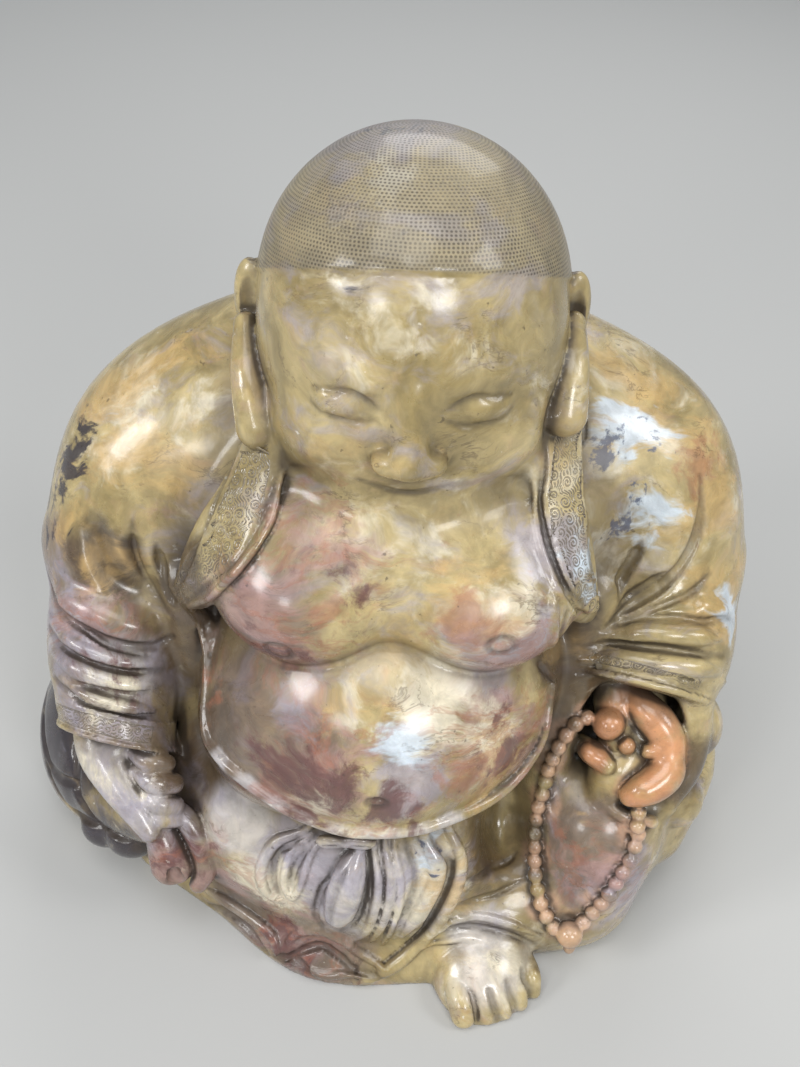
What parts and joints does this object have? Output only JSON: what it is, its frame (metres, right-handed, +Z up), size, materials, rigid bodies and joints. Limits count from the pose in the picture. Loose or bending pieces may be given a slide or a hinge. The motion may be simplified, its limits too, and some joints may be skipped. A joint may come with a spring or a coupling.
{
  "type": "budai figure",
  "caption": "Seated laughing-monk figure carved in mottled soapstone, with robe, sack, rosary and a flat underside to stand on.",
  "frame": {"origin": "on the flat underside, below the middle of the seated body", "axes": "+Z up, the figure faces -Y, +X to the viewer's right"},
  "size_m": [0.1447, 0.1227, 0.1498],
  "materials": {
    "soapstone": "waxed and polished, mottled olive-honey, mauve and rust"
  },
  "bodies": {
    "root": {"budai_figure": "soapstone"}
  },
  "joints": []
}
